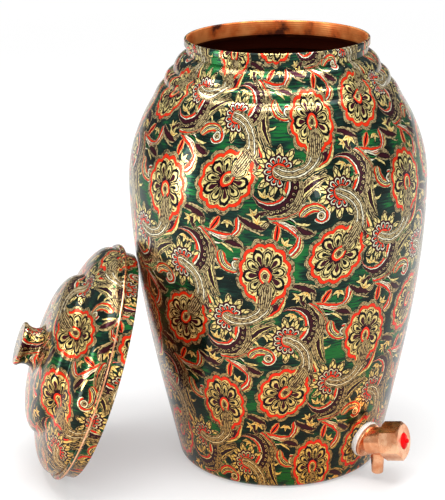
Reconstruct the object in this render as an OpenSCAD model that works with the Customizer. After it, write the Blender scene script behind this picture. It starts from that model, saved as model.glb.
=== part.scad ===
// Copper water dispenser: a two-part spun pot, a push-button tap, and its lid leaning beside it.
// Millimetres. The origin is the centre of the flat base, +Z is up and the front faces -Y.

/* [Pot] */
// Greatest outside diameter, at the belly
belly_d = 215; // [200:1:240]
// Height of the belly's widest circle
belly_z = 213; // [200:1:226]
// Height to the top of the rim
pot_h = 315; // [305:1:335]
// Diameter of the flat of the base
base_d = 139; // [125:1:150]
// Radius of the corner between base and flank
base_corner = 6; // [4:0.5:9]
// Thickness of the copper sheet
sheet = 1; // [0.8:0.1:1.4]
// Lean of the flank from upright, just above the base
flank_lean = 12.3; // [9:0.1:16]
// Reach of the flank's straight lower stretch
flank_reach = 70; // [55:1:85]
// Reach of the belly's upright stretch below its widest circle
belly_reach_low = 73; // [55:1:90]
// Reach of the belly's upright stretch above its widest circle
belly_reach_high = 25; // [18:1:32]
// Reach of the shoulder's slope below the neck rings
shoulder_reach = 28; // [20:1:34]
// Fall of the shoulder's slope where it meets the neck rings
shoulder_fall = 52; // [40:1:60]

/* [Neck] */
// Inside diameter of the mouth
mouth_d = 126.6; // [120:0.2:132]
// Height of the straight neck, rim included
neck_h = 10; // [8:0.5:12]
// Depth of the upper neck ring's foot below the rim
ring_1_drop = 22; // [20:0.5:25]
// Spread of the upper neck ring's foot beyond the neck
ring_1_out = 9.5; // [7:0.5:11]
// Depth of the lower neck ring's foot below the rim
ring_2_drop = 30.5; // [28:0.5:34]
// Spread of the lower neck ring's foot beyond the neck
ring_2_out = 16; // [14:0.5:18]
// Bulge of the neck rings
ring_bulge = 1.5; // [0.8:0.1:2]
// Height of the folded rim
hem_h = 5.4; // [4:0.2:7]
// Spread of the folded rim beyond the neck
hem_out = 1.4; // [1.2:0.1:2]

/* [Tap seat] */
// Height of the tap's centre on the wall
tap_z = 29.8; // [27:0.2:34]
// Turn of the tap round the pot, from the front towards +X
tap_az = 49.5; // [40:0.5:60]
// Diameter of the threaded shank
shank_d = 20.9; // [19:0.1:22]
// Bore of the shank
shank_bore = 15; // [13:0.5:15.5]
// Length of the shank inside the wall
shank_in = 12; // [11:0.5:16]
// Clearance round the tap's threads and the spout's socket, on the radius
thread_gap = 0.1; // [0.05:0.05:0.2]
// Diameter of the washers on both sides of the wall
washer_d = 28; // [27:0.5:31]
// Thickness of the outer washer at its middle
washer_t = 3; // [2:0.1:4]
// Thickness of the inner gasket at its middle
gasket_t = 3; // [2.5:0.1:4]
// Size of the lock nut across its flats
lock_nut_af = 27; // [25:0.5:29]
// Height of the lock nut
lock_nut_h = 6; // [4:0.5:7]
// Diameter of the flange
flange_d = 25.6; // [25:0.2:27]
// Thickness of the flange
flange_t = 2; // [1.6:0.1:2.6]

/* [Tap barrel] */
// Turn of the barrel round the upright, from the front towards +X
barrel_az = 65; // [58:0.5:68]
// Rise of the barrel above level
barrel_rise = 10.7; // [6:0.1:12]
// Diameter of the barrel
barrel_d = 20; // [19:0.2:21]
// Bore of the barrel
barrel_bore = 11; // [10.5:0.1:11.4]
// Length of the barrel from the flange's centre to the bonnet
barrel_len = 12.3; // [11.8:0.1:14]
// Place of the valve seat's inner face along the barrel
seat_s = 0.5; // [0.3:0.1:0.8]
// Thickness of the valve seat's web
seat_t = 1.5; // [1.2:0.1:1.8]
// Diameter of the hole in the valve seat
seat_hole = 7; // [6.5:0.1:7.4]
// Diameter of the thread that carries the bonnet
thread_d = 16.5; // [15.5:0.1:17]
// Length of that thread
thread_len = 4; // [3:0.1:5]
// Place of the spout along the barrel
spout_s = 6.9; // [6.6:0.1:7.2]
// Diameter of the spout where it enters the barrel
spout_d = 9.8; // [9:0.1:10.2]
// Diameter of the spout's tip
spout_tip_d = 8.6; // [8:0.1:9]
// Bore of the spout
spout_bore = 6.4; // [5:0.1:6.8]
// Height of the spout's tip above the floor
spout_tip_z = 5.5; // [4:0.5:9]

/* [Bonnet and button] */
// Size of the bonnet across its flats
bonnet_af = 25; // [23:0.5:27]
// Length of the bonnet
bonnet_len = 14.9; // [14.6:0.1:17]
// Turn of the bonnet about the barrel
bonnet_turn = 0; // [-30:1:30]
// Thickness of the bonnet's flat seal
seal_t = 1; // [0.8:0.1:1.2]
// Bore of the bonnet's flat seal
seal_bore = 7; // [6.5:0.1:7.4]
// Thickness of the O-ring
o_ring_t = 1.5; // [1.2:0.1:1.8]
// Diameter of the plunger
plunger_d = 5; // [4:0.1:5.4]
// Running clearance of the plunger, on the radius
plunger_gap = 0.05; // [0.03:0.01:0.1]
// Diameter of the red button
button_d = 11.4; // [10.5:0.1:12.4]
// Thickness of the red button
button_t = 2.2; // [1.8:0.1:2.4]
// Clearance of the button in its well, on the radius
button_gap = 0.3; // [0.2:0.05:0.5]
// How far the button goes in
button_travel = 2.5; // [2:0.1:2.8]
// Room left under the button when it is fully in
button_spare = 0.8; // [0.4:0.1:1]
// How deep the plunger sits in the button
button_grip = 1.2; // [0.8:0.1:1.4]
// Diameter of the button's nib
nib_d = 3.2; // [2.6:0.1:4]
// Height of the button's nib
nib_h = 3.6; // [2:0.1:4]

/* [Valve] */
// Diameter of the rubber valve disc
disc_d = 9.5; // [9:0.1:9.8]
// Thickness of the rubber valve disc
disc_t = 2; // [1.6:0.1:2.2]
// Diameter of the metal backing behind the disc
backing_d = 8; // [7:0.1:8.6]
// Thickness of the metal backing
backing_t = 0.8; // [0.6:0.1:1]
// Size of the valve nut across its flats
valve_nut_af = 6; // [5.5:0.1:6.4]
// Height of the valve nut
valve_nut_h = 1.8; // [1.5:0.1:2]
// Diameter of the plunger's threaded tail
tail_d = 3.2; // [2.8:0.1:3.4]
// Length of the tail past the valve nut
tail_past = 0.4; // [0.2:0.1:0.6]
// Diameter of the plunger's spring collar
spring_collar_d = 9.4; // [9:0.1:9.8]
// Thickness of the plunger's spring collar
spring_collar_t = 1.5; // [1:0.1:2]
// Length of the return spring
spring_len = 7.2; // [6.6:0.1:7.6]
// Wire of the return spring
spring_wire = 0.8; // [0.6:0.1:0.9]
// Mean diameter of the return spring's turns
spring_d = 8; // [7.6:0.1:8.4]
// Turns of the return spring
spring_turns = 4; // [3:1:4]

/* [Lid] */
// Loose fit of the lid's collar over the lower neck ring, on the radius
lid_fit = 3; // [2:0.1:4]
// Length of the collar below the curled edge
collar_h = 11.3; // [9:0.1:13]
// Length of the collar inside the lid
collar_in = 3.4; // [3:0.1:3.6]
// Thickness of the curled edge
curl_d = 4.2; // [3.6:0.1:5]
// Wire inside the curled edge
curl_wire = 2.1; // [1.8:0.1:2.4]
// Clearance round that wire, on the radius
curl_gap = 0.02; // [0.01:0.01:0.05]
// Height of the lid's outer step above the curled edge
step_h = 20.8; // [19:0.2:23]
// How far the step's top lies inside the lid's skirt
step_in = 24.6; // [22:0.2:27]
// Height of the inner dome above the curled edge
dome_h = 36.7; // [34:0.1:40]
// Diameter of the dome's flat top
dome_flat_d = 34; // [30:1:40]
// Greatest diameter of the knob
knob_d = 32; // [28:0.5:34]
// Diameter of the knob's foot
knob_foot_d = 38; // [34:0.5:40]
// Diameter that the knob's neck curves towards
knob_neck_d = 24; // [22:0.5:27]
// Height of the knob above the dome
knob_h = 15; // [13:0.1:18]
// Thickness of the knob's disc
knob_disc_t = 2.4; // [2:0.1:3]
// Diameter of the knob's screw
screw_d = 5; // [4:0.5:6]
// Length of the screw inside the knob
screw_grip = 9; // [7:0.5:11]
// Diameter of the screw's head
screw_head_d = 9.5; // [8:0.5:11]
// Height of the screw's head
screw_head_h = 3; // [2.5:0.1:3.5]
// Diameter of the washer under the screw's head
knob_washer_d = 15; // [13:0.5:18]
// Width and depth of the slot in the screw's head
screw_slot = 1.2; // [0.8:0.1:1.6]
// Thickness of the washer under the screw's head
knob_washer_t = 1.2; // [1:0.1:1.6]

/* [Lid leaning on the pot] */
// Rise of the lid's axis above level as it leans
lean_rise = 20; // [17:0.5:24]
// Turn of the lid's axis towards the front
lean_turn = 10.5; // [4:0.5:14]
// Turn of the lid's place round the pot towards the front
lean_place = 14; // [8:0.5:18]
// Gap between the leaning lid and the pot
lean_gap = 0.5; // [0.4:0.1:1.5]

/* [Hidden] */
$fn = 180;

// Colours
lacquer = "#2f5a45";
copper = "#d9956b";
dark_brass = "#b08d4c";
steel = "#b9bcc0";
white_rubber = "#f2f0ec";
black_rubber = "#26282a";
red_plastic = "#e0151b";

// Small chamfer on turned edges, and how far a hexagon's round face lies inside its flats
EDGE = 0.6;
HEX_LAND = 0.3;
// Steps of each curve of the outlines
CURVE_STEPS = 14;
BOW_STEPS = 6;
// How far a cut runs past the face that it opens
PAST = 1;
// Half the length of the hole through the wall
WALL_CUT = 15;
// Width of the cut behind the flange
FLANGE_CUT = 60;

// Curves, as points [radius, height]
function cubic(p, u) =
    p[0] * pow(1 - u, 3) + p[1] * 3 * u * pow(1 - u, 2) + p[2] * 3 * u * u * (1 - u) + p[3] * pow(u, 3);
function curve(p) = [for (i = [1 : CURVE_STEPS]) cubic(p, i / CURVE_STEPS)];
function bow(a, b, rise) = [
    for (i = [1 : BOW_STEPS])
        let (u = i / BOW_STEPS, d = b - a)
            a + d * u + 4 * rise * u * (1 - u) * [d[1], -d[0]] / norm(d)
];
function arc(c, r, from, to) = [
    for (i = [0 : BOW_STEPS])
        let (angle = from + (to - from) * i / BOW_STEPS)
            c + r * [cos(angle), sin(angle)]
];
function reversed(path) = [for (i = [len(path) - 1 : -1 : 0]) path[i]];
// The path moved to its left by a distance
function inset(path, by) = [
    for (i = [0 : len(path) - 1])
        let (d = path[min(i + 1, len(path) - 1)] - path[max(i - 1, 0)])
            path[i] + by * [-d[1], d[0]] / norm(d)
];

// Pot outline
belly = [belly_d / 2, belly_z];
corner_path = arc([base_d / 2, base_corner], base_corner, -90, -flank_lean);
flank_foot = corner_path[BOW_STEPS];
flank_end = flank_foot + flank_reach * [sin(flank_lean), cos(flank_lean)];
lower_path = concat(
    [[0, 0]],
    corner_path,
    curve([flank_foot, flank_end, belly - [0, belly_reach_low], belly])
);
mouth_r = mouth_d / 2;
neck_r = mouth_r + sheet;
ring_2_foot = [neck_r + ring_2_out, pot_h - ring_2_drop];
ring_1_foot = [neck_r + ring_1_out, pot_h - ring_1_drop];
neck_foot = [neck_r, pot_h - neck_h];
hem_foot = [neck_r, pot_h - hem_h];
shoulder_end = ring_2_foot + shoulder_reach * [cos(shoulder_fall), -sin(shoulder_fall)];
upper_path = concat(
    [belly],
    curve([belly, belly + [0, belly_reach_high], shoulder_end, ring_2_foot]),
    bow(ring_2_foot, ring_1_foot, ring_bulge),
    bow(ring_1_foot, neck_foot, ring_bulge),
    [hem_foot]
);
hem_half = (hem_out + sheet) / 2;
hem_path = concat(
    [hem_foot + [hem_out, 0]],
    arc([mouth_r + hem_half, pot_h - hem_half], hem_half, 0, 180)
);
seam_inside = belly - [sheet, 0];
lower_moved = inset(lower_path, sheet);
lower_inside = concat([for (i = [0 : len(lower_moved) - 2]) lower_moved[i]], [seam_inside]);
upper_moved = inset(upper_path, sheet);
upper_inside = concat([seam_inside], [for (i = [1 : len(upper_moved) - 1]) upper_moved[i]]);

// Wall of the pot, as pairs of height and radius
pot_wall = [for (p = concat(lower_path, upper_path)) [p[1], p[0]]];
function wall_r(z) = lookup(z, pot_wall);

// Tap seat, square to the wall
SLOPE_STEP = 2;
seat_lean = atan((wall_r(tap_z + SLOPE_STEP) - wall_r(tap_z - SLOPE_STEP)) / (2 * SLOPE_STEP));
gasket_back = -sheet - gasket_t;
flange_back = washer_t;
flange_face = flange_back + flange_t;
// The shank's wide bore stops short of the valve seat, on the side that the barrel leans to
SEAT_COVER = 1.5;
shank_bore_end = flange_back - SEAT_COVER;

// Places along the barrel, from the flange's centre
seat_face = seat_s + seat_t;
thread_end = barrel_len + thread_len;
seal_face = thread_end + seal_t;
gland_face = seal_face + o_ring_t;
bonnet_end = barrel_len + bonnet_len;
button_back = bonnet_end - button_t;
well_floor = button_back - button_travel - button_spare;
backing_face = seat_s - disc_t;
valve_nut_face = backing_face - backing_t;
valve_nut_back = valve_nut_face - valve_nut_h;
tail_end = valve_nut_back - tail_past;
chamber_end = tail_end - button_travel - button_spare;
spring_end = seat_face + spring_len;
o_ring_r = plunger_d / 2 + plunger_gap + o_ring_t / 2;

// Lid outline, from the plane of its curled edge towards the knob
collar_r = ring_2_foot[0] + lid_fit + sheet;
skirt_r = collar_r + sheet;
curl_r = collar_r + curl_d / 2;
skirt_top = curl_d;
// Handles of the curves over the step and the dome
SKIRT_HANDLE = [-0.5, 8.5];
STEP_HANDLE = [11.5, -2.8];
GROOVE = [-1.5, 1.7];
DOME_HANDLE = [-2, 8.6];
DOME_TOP_HANDLE = [24, 0];
skirt_end = [skirt_r, skirt_top];
step_foot = [skirt_r - step_in, step_h];
dome_foot = step_foot + GROOVE;
dome_rim = [dome_flat_d / 2, dome_h];
lid_path = concat(
    [[skirt_r, 0], skirt_end],
    curve([skirt_end, skirt_end + SKIRT_HANDLE, step_foot + STEP_HANDLE, step_foot]),
    [dome_foot],
    curve([dome_foot, dome_foot + DOME_HANDLE, dome_rim + DOME_TOP_HANDLE, dome_rim]),
    [[0, dome_h]]
);
lid_inside = inset(lid_path, sheet);
// Handles of the knob's neck
KNOB_FOOT_HANDLE = [1.5, 1.2];
KNOB_FLARE = 4.5;
knob_top = dome_h + knob_h;
knob_disc_foot = knob_top - knob_disc_t;
knob_foot = [knob_foot_d / 2, dome_h];
knob_path = concat(
    [[0, dome_h], knob_foot],
    curve([
        knob_foot,
        [knob_neck_d / 2, dome_h] + KNOB_FOOT_HANDLE,
        [knob_neck_d / 2, knob_disc_foot - KNOB_FLARE],
        [knob_d / 2, knob_disc_foot]
    ]),
    [[knob_d / 2, knob_top - EDGE], [knob_d / 2 - EDGE, knob_top], [0, knob_top]]
);

// The lid leans with its lowest edge on the floor
lid_lift_z = max(
    curl_r * cos(lean_rise) + curl_d / 2,
    collar_r * cos(lean_rise) + collar_h * sin(lean_rise)
);
lid_axis = [-cos(lean_rise) * cos(lean_turn), -cos(lean_rise) * sin(lean_turn), sin(lean_rise)];
lid_side = [-sin(lean_turn), cos(lean_turn), 0];
lid_up = cross(lid_side, lid_axis);
function lid_centre(away) = [-away * cos(lean_place), -away * sin(lean_place), lid_lift_z];
// Least gap between the pot and the collar's edge, with the lid a distance away from the pot's axis
function edge_gap(away) = min([
    for (turn = [-40 : 2 : 40])
        let (
            spoke = cos(turn) * lid_up + sin(turn) * lid_side,
            p = lid_centre(away) - collar_h * lid_axis + collar_r * spoke
        )
            norm([p[0], p[1]]) - wall_r(p[2])
]);
function moved_in(away) = away - edge_gap(away) + lean_gap;
lid_away = moved_in(moved_in(moved_in(belly_d)));

// Shared shapes
module spun(outline) {
    rotate_extrude() polygon(outline);
}

module tube(d, bore, from, to) {
    translate([0, 0, from])
        difference() {
            cylinder(d = d, h = to - from);
            translate([0, 0, -PAST]) cylinder(d = bore, h = to - from + 2 * PAST);
        }
}

module rod(d, from, to) {
    translate([0, 0, from]) cylinder(d = d, h = to - from);
}

// A hexagon across its flats, with its corners rounded off by cones at both ends
module hexagon(af, from, to) {
    corner_r = af / sqrt(3);
    face_r = af / 2 - HEX_LAND;
    edge = (corner_r - face_r) * tan(30);
    intersection() {
        translate([0, 0, from]) cylinder(r = corner_r, h = to - from, $fn = 6);
        spun([
            [0, from], [face_r, from], [corner_r, from + edge],
            [corner_r, to - edge], [face_r, to], [0, to]
        ]);
    }
}

// Stands what is drawn along +Z on the wall at the tap, square to the wall
module on_seat() {
    translate([wall_r(tap_z) * sin(tap_az), -wall_r(tap_z) * cos(tap_az), tap_z])
        rotate([0, 90 + seat_lean, tap_az - 90])
            children();
}

// The flange's centre, where the barrel's axis starts
function seat_point(along) = [
    (wall_r(tap_z) + along * cos(seat_lean)) * sin(tap_az),
    -(wall_r(tap_z) + along * cos(seat_lean)) * cos(tap_az),
    tap_z - along * sin(seat_lean)
];

// Lays what is drawn along +Z on the barrel's axis
module on_barrel() {
    translate(seat_point(flange_face))
        rotate([0, 90 - barrel_rise, barrel_az - 90])
            children();
}

// The spout hangs straight down from a point on the barrel's axis
spout_top = seat_point(flange_face) + spout_s * [
    cos(barrel_rise) * sin(barrel_az),
    -cos(barrel_rise) * cos(barrel_az),
    sin(barrel_rise)
];
// The spout is let into the barrel's wall up to a thin web under the bore
SPOUT_WEB = 0.8;
spout_shoulder = barrel_bore / 2 + SPOUT_WEB;
module on_spout() {
    translate(spout_top) rotate([180, 0, 0]) children();
}

// Stands what is drawn along +Z, knob upwards, in the leaning lid's place
module on_lid() {
    translate(lid_centre(lid_away))
        rotate([0, 90 - lean_rise, 180 + lean_turn])
            children();
}

// Pot
module lower_shell() {
    color(lacquer)
        difference() {
            spun(concat(lower_path, reversed(lower_inside)));
            on_seat() rod(shank_d + 2 * thread_gap, -WALL_CUT, WALL_CUT);
        }
}

module upper_shell() {
    color(lacquer) spun(concat(upper_path, hem_path, reversed(upper_inside)));
}

// Tap seat
module wall_washer() {
    color(white_rubber)
        difference() {
            on_seat() tube(washer_d, shank_d + 2 * thread_gap, -washer_t, washer_t);
            spun(concat(lower_path, [[0, belly_z]]));
        }
}

module inner_gasket() {
    color(black_rubber)
        difference() {
            on_seat() tube(washer_d, shank_d + 2 * thread_gap, gasket_back, gasket_t);
            spun(concat(lower_inside, [[belly_d, belly_z], [belly_d, -sheet], [0, -sheet]]));
        }
}

module lock_nut() {
    color(dark_brass)
        on_seat()
            difference() {
                hexagon(lock_nut_af, gasket_back - lock_nut_h, gasket_back);
                rod(shank_d + 2 * thread_gap, gasket_back - lock_nut_h - PAST, gasket_back + PAST);
            }
}

module tap_body() {
    color(copper)
        difference() {
            union() {
                on_seat() rod(shank_d, -shank_in, flange_face);
                on_seat() rod(flange_d, flange_back, flange_face);
                difference() {
                    on_barrel() rod(barrel_d, -barrel_d / 2, barrel_len);
                    on_seat() rod(FLANGE_CUT, -FLANGE_CUT / 2, flange_back);
                }
                on_barrel() rod(thread_d, 0, thread_end);
            }
            on_seat() rod(shank_bore, -shank_in - PAST, shank_bore_end);
            on_barrel() rod(barrel_bore, chamber_end, seat_s);
            on_barrel() rod(seat_hole, 0, seat_face + PAST);
            on_barrel() rod(barrel_bore, seat_face, thread_end + PAST);
            on_spout() rod(spout_bore, 0, spout_shoulder + PAST);
            on_spout() rod(spout_d + 2 * thread_gap, spout_shoulder, barrel_d);
        }
}

module tap_spout() {
    tip = spout_top[2] - spout_tip_z;
    straight_end = barrel_d / 2 + SPOUT_WEB;
    color(copper)
        on_spout()
            difference() {
                spun([
                    [0, spout_shoulder], [spout_d / 2, spout_shoulder], [spout_d / 2, straight_end],
                    [spout_tip_d / 2, tip - EDGE], [spout_tip_d / 2 - EDGE, tip], [0, tip]
                ]);
                rod(spout_bore, 0, tip + PAST);
            }
}

// Bonnet
module bonnet_nut() {
    color(copper)
        on_barrel()
            difference() {
                rotate([0, 0, bonnet_turn]) hexagon(bonnet_af, barrel_len, bonnet_end);
                rod(thread_d + 2 * thread_gap, barrel_len - PAST, seal_face);
                rod(2 * o_ring_r + o_ring_t, seal_face - PAST, gland_face);
                rod(plunger_d + 2 * plunger_gap, gland_face - PAST, bonnet_end);
                rod(button_d + 2 * button_gap, well_floor, bonnet_end + PAST);
            }
}

module bonnet_seal() {
    color(black_rubber) on_barrel() tube(thread_d, seal_bore, thread_end, seal_face);
}

module stem_o_ring() {
    color(black_rubber)
        on_barrel()
            translate([0, 0, seal_face + o_ring_t / 2])
                rotate_extrude() translate([o_ring_r, 0]) circle(d = o_ring_t);
}

// A wire wound round +Z, from one height to another
module coil(d, wire, turns, from, to) {
    sides = 6;
    rings = turns * 24;
    low = from + wire / 2;
    high = to - wire / 2;
    ring_points = [
        for (i = [0 : rings], k = [0 : sides - 1])
            let (
                turn = 360 * turns * i / rings,
                out = d / 2 + wire / 2 * cos(360 * k / sides),
                up = low + (high - low) * i / rings + wire / 2 * sin(360 * k / sides)
            )
                [out * cos(turn), out * sin(turn), up]
    ];
    walls = [
        for (i = [0 : rings - 1], k = [0 : sides - 1], half = [0, 1])
            let (a = i * sides + k, b = i * sides + (k + 1) % sides)
                half == 0 ? [a, b, a + sides] : [b, b + sides, a + sides]
    ];
    first_end = [for (k = [1 : sides - 2]) [0, k + 1, k]];
    last = rings * sides;
    last_end = [for (k = [1 : sides - 2]) [last, last + k, last + k + 1]];
    polyhedron(ring_points, concat(walls, first_end, last_end));
}

module return_spring() {
    color(steel) on_barrel() coil(spring_d, spring_wire, spring_turns, seat_face, spring_end);
}

// Button and valve
module push_button() {
    color(red_plastic)
        on_barrel()
            difference() {
                union() {
                    rod(button_d, button_back, bonnet_end);
                    rod(nib_d, bonnet_end - PAST, bonnet_end + nib_h);
                }
                rod(plunger_d, button_back - PAST, button_back + button_grip);
            }
}

module plunger() {
    color(dark_brass)
        on_barrel() {
            rod(plunger_d, seat_s, button_back + button_grip);
            rod(tail_d, tail_end, seat_s + PAST);
            rod(spring_collar_d, spring_end, spring_end + spring_collar_t);
        }
}

module valve_disc() {
    color(black_rubber) on_barrel() tube(disc_d, tail_d, backing_face, seat_s);
}

module valve_backing() {
    color(dark_brass) on_barrel() tube(backing_d, tail_d, valve_nut_face, backing_face);
}

module valve_nut() {
    color(dark_brass)
        on_barrel()
            difference() {
                hexagon(valve_nut_af, valve_nut_back, valve_nut_face);
                rod(tail_d, valve_nut_back - PAST, valve_nut_face + PAST);
            }
}

// Lid
module lid_shell() {
    color(lacquer)
        on_lid()
            difference() {
                union() {
                    spun(concat(lid_path, reversed(lid_inside)));
                    rotate_extrude() translate([curl_r, 0]) circle(d = curl_d);
                }
                rotate_extrude() translate([curl_r, 0]) circle(d = curl_wire + 2 * curl_gap);
                rod(screw_d, dome_h - sheet - PAST, dome_h + PAST);
            }
}

module lid_rim_wire() {
    color(steel) on_lid() rotate_extrude() translate([curl_r, 0]) circle(d = curl_wire);
}

module lid_collar() {
    color(lacquer) on_lid() tube(2 * collar_r, 2 * (collar_r - sheet), -collar_h, collar_in);
}

module lid_knob() {
    color(lacquer)
        on_lid()
            difference() {
                spun(knob_path);
                rod(screw_d, dome_h - PAST, dome_h + screw_grip);
            }
}

module knob_screw() {
    head_face = dome_h - sheet - knob_washer_t;
    color(dark_brass)
        on_lid()
            difference() {
                union() {
                    rod(screw_d, head_face - EDGE, dome_h + screw_grip);
                    rod(screw_head_d, head_face - screw_head_h, head_face);
                }
                translate([-screw_head_d, -screw_slot / 2, head_face - screw_head_h - PAST])
                    cube([2 * screw_head_d, screw_slot, screw_slot + PAST]);
            }
}

module knob_washer() {
    color(dark_brass)
        on_lid() tube(knob_washer_d, screw_d, dome_h - sheet - knob_washer_t, dome_h - sheet);
}

lower_shell();
upper_shell();
wall_washer();
inner_gasket();
lock_nut();
tap_body();
tap_spout();
bonnet_nut();
bonnet_seal();
stem_o_ring();
return_spring();
push_button();
plunger();
valve_disc();
valve_backing();
valve_nut();
lid_shell();
lid_rim_wire();
lid_collar();
lid_knob();
knob_screw();
knob_washer();
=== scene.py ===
# Looks of the copper water dispenser: printed pot and lid, copper tap, camera and studio.
import math

import bpy
from mathutils import Matrix, Vector
from mathutils.kdtree import KDTree


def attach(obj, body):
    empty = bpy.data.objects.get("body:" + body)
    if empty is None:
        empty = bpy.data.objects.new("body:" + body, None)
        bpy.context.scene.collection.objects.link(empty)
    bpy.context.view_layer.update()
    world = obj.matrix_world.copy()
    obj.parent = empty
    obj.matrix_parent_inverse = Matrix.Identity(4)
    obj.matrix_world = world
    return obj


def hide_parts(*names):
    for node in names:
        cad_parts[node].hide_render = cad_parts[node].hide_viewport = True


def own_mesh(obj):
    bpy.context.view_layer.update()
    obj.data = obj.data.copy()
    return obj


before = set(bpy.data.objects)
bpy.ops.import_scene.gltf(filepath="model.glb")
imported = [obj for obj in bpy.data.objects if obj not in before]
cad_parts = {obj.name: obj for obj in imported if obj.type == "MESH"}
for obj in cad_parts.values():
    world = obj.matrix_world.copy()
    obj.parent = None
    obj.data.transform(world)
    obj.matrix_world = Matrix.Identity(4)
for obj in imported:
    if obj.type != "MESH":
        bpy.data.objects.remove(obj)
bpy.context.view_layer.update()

MM = 0.001
scene = bpy.context.scene


# Colour and node helpers
def linear(code, alpha=1.0):
    """An sRGB hex value as linear colour."""
    parts = [int(code[i:i + 2], 16) / 255 for i in (1, 3, 5)]
    return [c / 12.92 if c <= 0.04045 else ((c + 0.055) / 1.055) ** 2.4 for c in parts] + [alpha]


def fill_ramp(ramp, stops, interpolation):
    """Gives a colour ramp its stops: (place, hex), where None is clear."""
    ramp.interpolation = interpolation
    while len(ramp.elements) < len(stops):
        ramp.elements.new(1.0)
    for element, (place, code) in zip(ramp.elements, stops):
        element.position = place
        element.color = linear(code) if code else linear("#000000", 0.0)


def fill_curve(mapping, points):
    """Gives a float curve its points, with level ends."""
    mapping.use_clip = False
    mapping.extend = "HORIZONTAL"
    curve = mapping.curves[0]
    while len(curve.points) < len(points):
        curve.points.new(0.5, 0.5)
    for point, place in zip(curve.points, points):
        point.location = place
    mapping.update()


def add(tree, kind, links=(), out=0, bands=None, stops=None, curve=None, **settings):
    """Adds a shader node, named by its kind and operation, with its settings, ramp or curve. It sets or
    links the inputs, by name or in order, and gives one of the outputs."""
    kind, _, operation = kind.partition(" ")
    made = tree.nodes.new("ShaderNode" + kind)
    if operation:
        made.operation = operation
    for key, value in settings.items():
        setattr(made, key, value)
    for key, value in links.items() if isinstance(links, dict) else enumerate(links):
        if isinstance(value, bpy.types.NodeSocket):
            tree.links.new(value, made.inputs[key])
        else:
            made.inputs[key].default_value = value
    if bands:
        fill_ramp(made.color_ramp, bands, "CONSTANT")
    if stops:
        fill_ramp(made.color_ramp, stops, "LINEAR")
    if curve:
        fill_curve(made.mapping, curve)
    return made.outputs[out] if made.outputs else made


# Print colours
GREEN_DEEP = "#0B1914"
GREEN_MID = "#15332A"
GREEN_LIT = "#1B6A30"
CREAM = "#EFDB8E"
PALE = "#F6EFD0"
GOLD = "#DE9C3C"
TAN = "#C4AE7C"
TAN_DARK = "#443022"
RED = "#EA3414"
MAROON = "#380D19"
BLACK = "#080305"


# Width profiles along a stroke
def tapered(*widths):
    """A profile with these widths, as (way along, share), and thin ends."""
    return ((0, 0.0001), *widths, (1, 0.0001))


LEAF = tapered((0.06, 0.3), (0.35, 0.95), (0.6, 1.0), (0.93, 0.35))
TAPER = tapered((0.25, 0.35), (0.6, 0.8), (0.9, 1.0), (0.985, 0.85))
LINE = tapered((0.04, 0.8), (0.5, 1.0), (0.95, 0.7))
STEM = tapered((0.02, 0.6), (0.1, 0.88), (0.45, 0.95), (0.75, 1.0), (0.985, 1.3))
ROUND = tapered((0.03, 0.45), (0.14, 0.88), (0.4, 1.0), (0.75, 0.85), (0.97, 0.6))
BULB = tapered((0.03, 0.3), (0.5, 0.6), (0.85, 1.0), (0.97, 0.75))
PETAL = tapered((0.1, 0.3), (0.45, 0.72), (0.7, 1.0), (0.86, 0.8), (0.95, 0.3))
SPIKE = tapered((0.08, 0.75), (0.3, 1.0), (0.6, 0.7), (0.85, 0.28))

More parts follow.
